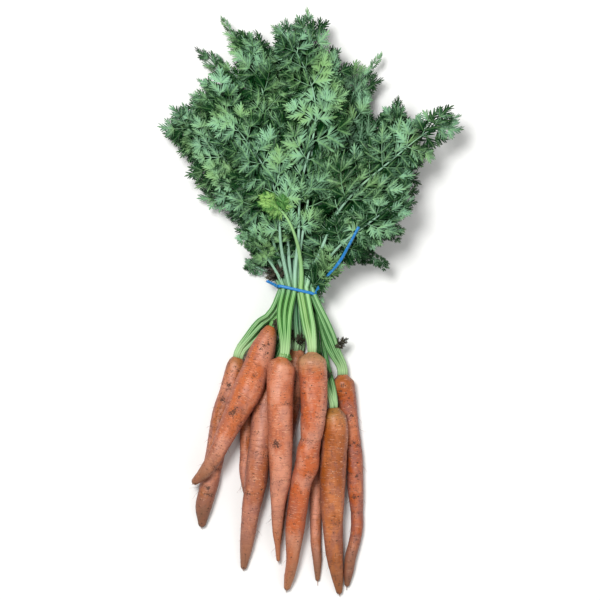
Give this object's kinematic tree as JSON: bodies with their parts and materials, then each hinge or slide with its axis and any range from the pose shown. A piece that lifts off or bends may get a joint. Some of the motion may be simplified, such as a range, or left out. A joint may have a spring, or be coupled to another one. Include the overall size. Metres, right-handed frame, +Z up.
{
  "type": "bunch of carrots",
  "caption": "Tied bunch of long tapered carrots with their leafy tops on, lying on its side, roots fanned one way and feathery leaves the other.",
  "frame": {"origin": "middle of the bunch's bounding box, on the surface that it lies on", "axes": "+Z up from the surface, +Y along the bunch from root tips to leaf tips, +X to the right seen from above with the leaves away"},
  "size_m": [0.249, 0.4997, 0.0671],
  "materials": {
    "root_skin": "dull orange root skin, finely ringed, with soil in its wrinkles",
    "leaf": "matt green leaf",
    "wire_cover": "smooth blue plastic on a thin wire"
  },
  "bodies": {
    "root": {"carrot_a": "root_skin", "carrot_b": "root_skin", "carrot_c": "root_skin", "carrot_d": "root_skin", "carrot_e": "root_skin", "carrot_f": "root_skin", "carrot_g": "root_skin", "carrot_h": "root_skin", "carrot_i": "root_skin", "carrot_j": "root_skin", "leaf_a1": "leaf", "leaf_a2": "leaf", "leaf_a3": "leaf", "leaf_a4": "leaf", "leaf_b1": "leaf", "leaf_b2": "leaf", "leaf_b3": "leaf", "leaf_c1": "leaf", "leaf_c2": "leaf", "leaf_c3": "leaf", "leaf_c4": "leaf", "leaf_c5": "leaf", "leaf_d1": "leaf", "leaf_d2": "leaf", "leaf_d3": "leaf", "leaf_e1": "leaf", "leaf_e2": "leaf", "leaf_f1": "leaf", "leaf_f2": "leaf", "leaf_f3": "leaf", "leaf_f4": "leaf", "leaf_f5": "leaf", "leaf_f6": "leaf", "leaf_g1": "leaf", "leaf_g2": "leaf", "leaf_g3": "leaf", "leaf_g4": "leaf", "leaf_h1": "leaf", "leaf_h2": "leaf", "leaf_h3": "leaf", "leaf_i1": "leaf", "leaf_i2": "leaf", "leaf_i3": "leaf", "leaf_i4": "leaf", "leaf_j1": "leaf", "leaf_j2": "leaf", "wire_tie": "wire_cover"}
  },
  "joints": []
}
